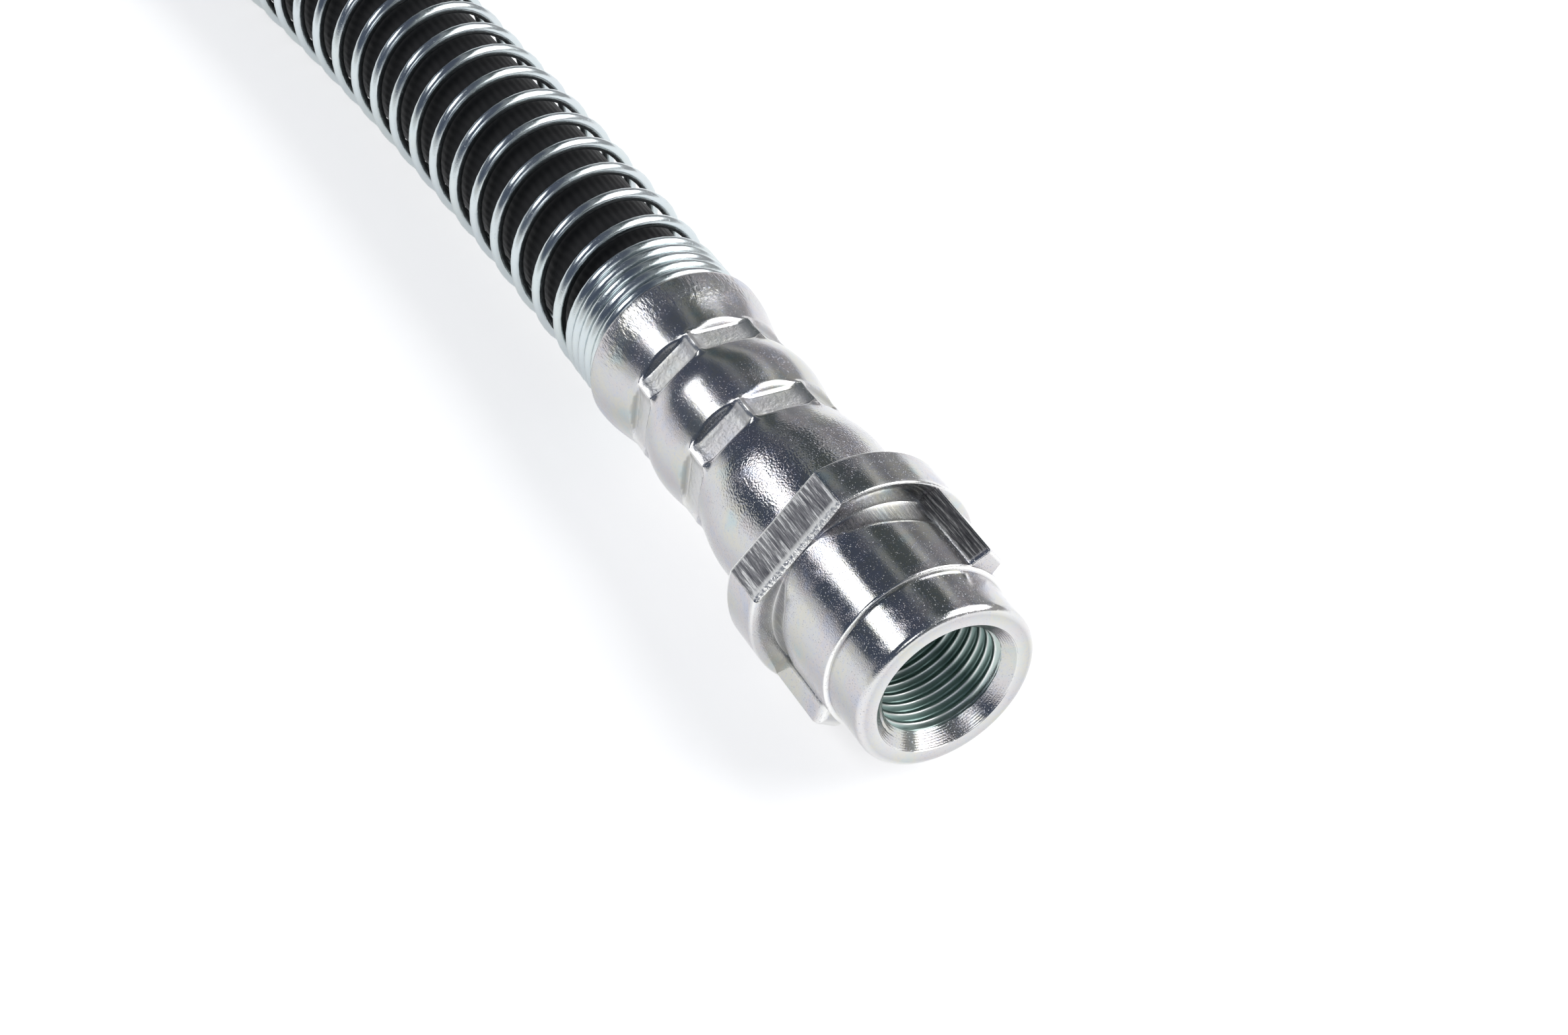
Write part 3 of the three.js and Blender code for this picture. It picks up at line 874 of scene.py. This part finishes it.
def zincMaterial():
    look = zincLook
    material, nodes, links, shader = newMaterial("zincPlate")
    shader.inputs["Metallic"].default_value = 1.0
    place = attribute(nodes, "place", "Vector")
    masks = {name: attribute(nodes, name, "Fac") for name in maskNames}
    plated = platingNode(nodes, links, place)

    # axial shear marks on the flats and lugs
    shear = noiseNode(nodes, links, place, 1.0, 5.0, 0.75, stretch=look["shearStretch"]).outputs["Fac"]
    sheared = nodes.new("ShaderNodeValToRGB")
    setRamp(sheared, look["flatColours"])
    links.new(shear, sheared.inputs["Fac"])

    # colour: tinted plating, sheared on the flats, greener in the port, painted shade in hollows and on lug
    # sides, painted highlights on edges and ridges
    colour = mixColour(nodes, links, masks["flat"], plated["Tint"], sheared.outputs["Color"])
    colour = mixColour(nodes, links, masks["thread"], colour, look["portColour"])
    colour = mixColour(nodes, links, masks["dull"], colour, look["dullColour"])
    colour = mixColour(nodes, links, masks["edge"], colour, look["paintedHighlightColour"])
    links.new(colour, shader.inputs["Base Color"])

    # orange peel on the first bulge
    split = nodes.new("ShaderNodeSeparateXYZ")
    links.new(place, split.inputs["Vector"])
    back = mathNode(nodes, links, "MULTIPLY", split.outputs["X"], -1.0)
    peelStart, peelFull, peelFading, peelEnd = look["peelZone"]
    fadeIn = rangeNode(nodes, links, back, (peelStart, peelFull))
    fadeOut = rangeNode(nodes, links, back, (peelEnd, peelFading))
    peelZone = mathNode(nodes, links, "MULTIPLY", fadeIn, fadeOut)
    peel = noiseNode(nodes, links, place, look["peelSize"], 0.0).outputs["Fac"]
    mottle = noiseNode(nodes, links, place, look["mottleSize"], 3.0).outputs["Fac"]
    burr = noiseNode(nodes, links, place, look["burrSize"], 2.0, stretch=look["burrStretch"]).outputs["Fac"]

    # the sleeve's finish turns softer and smoother towards its tail
    soft = rangeNode(nodes, links, back, look["softZone"])
    rough = mathNode(nodes, links, "MULTIPLY_ADD", plated["Patch"], look["patchRough"], look["roughness"])
    rough = mathNode(nodes, links, "MULTIPLY_ADD", soft, look["softer"], rough)
    for mask, gain in look["roughGains"].items():
        rough = mathNode(nodes, links, "MULTIPLY_ADD", masks[mask], gain, rough)
    links.new(rough, shader.inputs["Roughness"])
    share = mathNode(nodes, links, "MULTIPLY_ADD", masks["thread"], -look["grainLostInPort"], 1.0)
    share = mathNode(nodes, links, "MULTIPLY_ADD", soft, -look["grainLostOnTail"], share, clamp=True)
    normal = bumpChain(nodes, links, (
        (mathNode(nodes, links, "MULTIPLY", plated["Grain"], share), look["grainDepth"]),
        (mathNode(nodes, links, "MULTIPLY", peel, peelZone), look["peelDepth"]),
        (mathNode(nodes, links, "MULTIPLY", mottle, masks["crimp"]), look["mottleDepth"]),
        (mathNode(nodes, links, "MULTIPLY", shear, masks["flat"]), look["shearDepth"]),
        (mathNode(nodes, links, "MULTIPLY", burr, masks["burr"]), look["burrDepth"]),
    ))
    links.new(normal, shader.inputs["Normal"])
    return material


wireLook = {
    "roughness": 0.15,
    "patchRough": 0.08,
    "tintSize": 0.12,
    "colour": (0.6, 0.68, 0.7),
    "colourShare": 0.65,
    "grainDepth": 0.004,
    "drawnSize": 2.5,
    "drawnStretch": (0.05, 4.0, 4.0),
    "drawnDepth": 0.012,
}


def wireMaterial():
    look = wireLook
    material, nodes, links, shader = newMaterial("springZinc")
    shader.inputs["Metallic"].default_value = 1.0
    place = attribute(nodes, "place", "Vector")
    plated = platingNode(nodes, links, place, **{"Tint Size": look["tintSize"]})
    colour = mixColour(nodes, links, look["colourShare"], plated["Tint"], look["colour"])
    links.new(colour, shader.inputs["Base Color"])
    drawn = noiseNode(nodes, links, place, look["drawnSize"], 2.0, stretch=look["drawnStretch"])
    rough = mathNode(nodes, links, "MULTIPLY_ADD", plated["Patch"], look["patchRough"], look["roughness"])
    links.new(rough, shader.inputs["Roughness"])
    normal = bumpChain(nodes, links, (
        (plated["Grain"], look["grainDepth"]),
        (drawn.outputs["Fac"], look["drawnDepth"]),
    ))
    links.new(normal, shader.inputs["Normal"])
    return material


rubberLook = {
    "dark": (0.004, 0.004, 0.005),
    "light": (0.012, 0.012, 0.013),
    "roughness": 0.5,
    "mottleRough": 0.2,
    "shine": 0.3,
    "mottleSize": 700.0,    # per metre, like the pores
    "grooveShade": 0.5,
    "poreSize": 5000.0,
    "poreDepth": 0.01,
}


def rubberMaterial():
    look = rubberLook
    material, nodes, links, shader = newMaterial("blackRubber")
    place = nodes.new("ShaderNodeTexCoord").outputs["Object"]
    mottle = noiseNode(nodes, links, place, look["mottleSize"], 3.0).outputs["Fac"]
    groove = attribute(nodes, "groove", "Fac")
    lift = mathNode(nodes, links, "MULTIPLY_ADD", groove, -look["grooveShade"], mottle, clamp=True)
    tone = nodes.new("ShaderNodeValToRGB")
    setRamp(tone, [(0.1, look["dark"]), (0.7, look["light"])])
    links.new(lift, tone.inputs["Fac"])
    links.new(tone.outputs["Color"], shader.inputs["Base Color"])
    rough = mathNode(nodes, links, "MULTIPLY_ADD", mottle, look["mottleRough"], look["roughness"])
    links.new(rough, shader.inputs["Roughness"])
    shader.inputs["Specular IOR Level"].default_value = look["shine"]
    pores = noiseNode(nodes, links, place, look["poreSize"], 2.0).outputs["Fac"]
    links.new(bumpChain(nodes, links, ((pores, look["poreDepth"]),)), shader.inputs["Normal"])
    return material


def cover(node, material):
    node.data.materials.clear()
    node.data.materials.append(material)


zinc, wire, rubber = zincMaterial(), wireMaterial(), rubberMaterial()
for piece, node, material in ((nearFitting, "near_fitting", zinc), (farFitting, "far_fitting", zinc),
                              (spring, "spring_guard", wire), (hose, "rubber_hose", rubber)):
    cover(piece, material)
    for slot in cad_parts[node].material_slots:
        slot.material = material
print("materials")

# floor, world and lamps
studio = {
    "floorColour": (0.78, 0.78, 0.78, 1),
    "floorGlow": 0.58,
    "floorRoughness": 0.8,
    "floorShine": 0.1,
    "floorHalf": 5.0,       # metres, like the lamps' places and sizes
    # light in degrees round the X axis, from the horizon away from the camera to the one behind it
    "around": [
        (0, (0.4, 0.4, 0.41)), (21, (0.42, 0.42, 0.43)), (26, (0.28, 0.28, 0.3)), (37, (0.25, 0.25, 0.27)),
        (41, (0.6, 0.6, 0.61)), (48, (0.6, 0.6, 0.61)), (51, (0.11, 0.125, 0.14)), (75, (0.09, 0.105, 0.11)),
        (78, (0.3, 0.32, 0.33)), (84, (0.3, 0.31, 0.33)), (87, (0.095, 0.11, 0.145)),
        (110, (0.08, 0.095, 0.14)), (167, (0.09, 0.11, 0.155)),
        (171, (0.8, 0.8, 0.8)), (180, (0.9, 0.9, 0.9)),
    ],
    "lampCentre": (-0.02, 0, 0),    # from the mouth
    "lamps": {
        "strip": {"towards": (-0.42, -0.57, 0.705), "along": (1, 0, 0), "distance": 0.62,
                  "size": (0.5, 0.18), "radiance": 3.6},
        "front": {"towards": (0.78, -0.28, 0.56), "along": (0, 1, 0), "distance": 0.8,
                  "size": (0.25, 0.25), "radiance": 2.0},
        "side": {"towards": (0.22, 0.7, 0.68), "along": (1, 0, 0), "distance": 0.8,
                 "size": (1.0, 0.65), "radiance": 3.2},
    },
}


def makeFloor():
    half = studio["floorHalf"]
    mesh = bpy.data.meshes.new("floor")
    corners = [(-half, -half, 0), (half, -half, 0), (half, half, 0), (-half, half, 0)]
    mesh.from_pydata(corners, [], [(0, 1, 2, 3)])
    floor = bpy.data.objects.new("floor", mesh)
    bpy.context.scene.collection.objects.link(floor)
    material, nodes, links, shader = newMaterial("floorPaper")
    shader.inputs["Base Color"].default_value = studio["floorColour"]
    shader.inputs["Roughness"].default_value = studio["floorRoughness"]
    shader.inputs["Specular IOR Level"].default_value = studio["floorShine"]
    # the glow shows to the camera and in the metal's reflections, and lights nothing else
    path = nodes.new("ShaderNodeLightPath")
    seen = path.outputs["Is Camera Ray"]
    for ray in ("Is Glossy Ray", "Is Transmission Ray"):
        seen = mathNode(nodes, links, "MAXIMUM", seen, path.outputs[ray])
    glow = mathNode(nodes, links, "MULTIPLY", seen, studio["floorGlow"])
    shader.inputs["Emission Color"].default_value = (1, 1, 1, 1)
    links.new(glow, shader.inputs["Emission Strength"])
    cover(floor, material)


makeFloor()


def makeWorld():
    # dim studio round the lamps, with soft pale bands that run along the part
    world = bpy.data.worlds.new("studio")
    bpy.context.scene.world = world
    world.use_nodes = True
    nodes, links = world.node_tree.nodes, world.node_tree.links
    coords = nodes.new("ShaderNodeTexCoord")
    split = nodes.new("ShaderNodeSeparateXYZ")
    links.new(coords.outputs["Generated"], split.inputs["Vector"])
    turn = mathNode(nodes, links, "ARCTAN2", split.outputs["Z"], split.outputs["Y"])
    ramp = nodes.new("ShaderNodeValToRGB")
    setRamp(ramp, [(degrees / 180, colour) for degrees, colour in studio["around"]])
    links.new(mathNode(nodes, links, "MULTIPLY", turn, 1 / math.pi, clamp=True), ramp.inputs["Fac"])
    links.new(ramp.outputs["Color"], nodes["Background"].inputs["Color"])
    nodes["Background"].inputs["Strength"].default_value = 1.0


makeWorld()


def makeLamp(name, look):
    way = Vector(look["towards"]).normalized()
    along = Vector(look["along"])
    along = (along - along.dot(way) * way).normalized()
    data = bpy.data.lights.new(name, "AREA")
    data.shape = "RECTANGLE"
    data.size, data.size_y = look["size"]
    data.energy = look["radiance"] * math.pi * data.size * data.size_y
    lamp = bpy.data.objects.new(name, data)
    bpy.context.scene.collection.objects.link(lamp)
    lamp.location = mouth + Vector(studio["lampCentre"]) + way * look["distance"]
    lamp.rotation_euler = Matrix((along, way.cross(along), way)).transposed().to_euler()


for lampName, lampLook in studio["lamps"].items():
    makeLamp(lampName, lampLook)

bpy.context.scene.view_settings.view_transform = "Standard"
print("studio")
